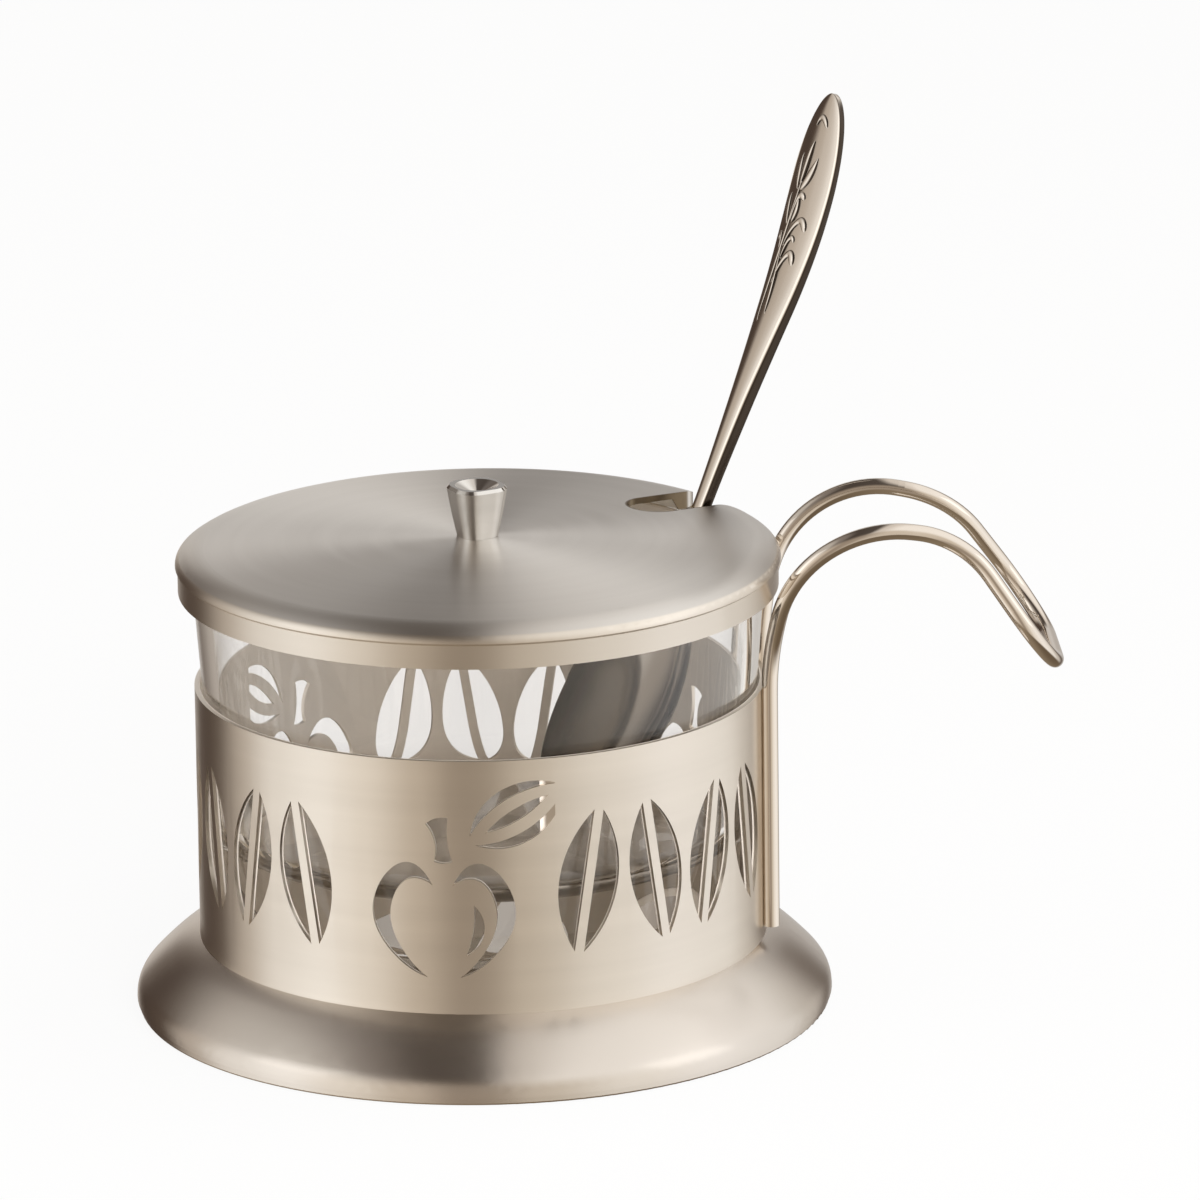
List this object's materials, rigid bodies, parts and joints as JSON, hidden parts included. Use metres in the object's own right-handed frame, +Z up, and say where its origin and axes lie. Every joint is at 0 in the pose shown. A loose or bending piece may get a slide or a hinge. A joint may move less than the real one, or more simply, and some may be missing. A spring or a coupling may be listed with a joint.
{
  "type": "honey pot",
  "caption": "Glass honey bowl in a pierced steel holder with a wire handle, under a domed lift-off lid with a knob and a notch for its spoon.",
  "frame": {"origin": "on the pot's axis, in the plane of the foot's lower edge", "axes": "+Z up along the pot's axis, +X towards the wire handle, +Y to the side that the spoon leans to"},
  "size_m": [0.1542, 0.1158, 0.1448],
  "materials": {
    "satin_steel": "satin",
    "lid_steel": "spun satin",
    "bright_wire": "polished",
    "polished_steel": "polished",
    "spoon_steel": "polished",
    "plain_steel": "plain",
    "clear_glass": "clear"
  },
  "bodies": {
    "holder": {"base_foot": "satin_steel", "pierced_band": "satin_steel", "handle_wire": "bright_wire"},
    "bowl": {"glass_bowl": "clear_glass"},
    "lid": {"lid_shell": "lid_steel", "lid_knob": "polished_steel", "knob_screw": "plain_steel", "knob_washer": "plain_steel"},
    "spoon_body": {"spoon": "spoon_steel"}
  },
  "joints": [
    {"name": "bowl_lift", "type": "slide", "parent": "holder", "child": "bowl", "axis": [0, 0, 1], "range_m": [0, 0.045]},
    {"name": "lid_lift", "type": "slide", "parent": "bowl", "child": "lid", "axis": [0, 0, 1], "range_m": [0, 0.082]},
    {"name": "spoon_draw", "type": "slide", "parent": "bowl", "child": "spoon_body", "axis": [0.3686, 0.2068, 0.9063], "range_m": [0, 0.007]}
  ]
}
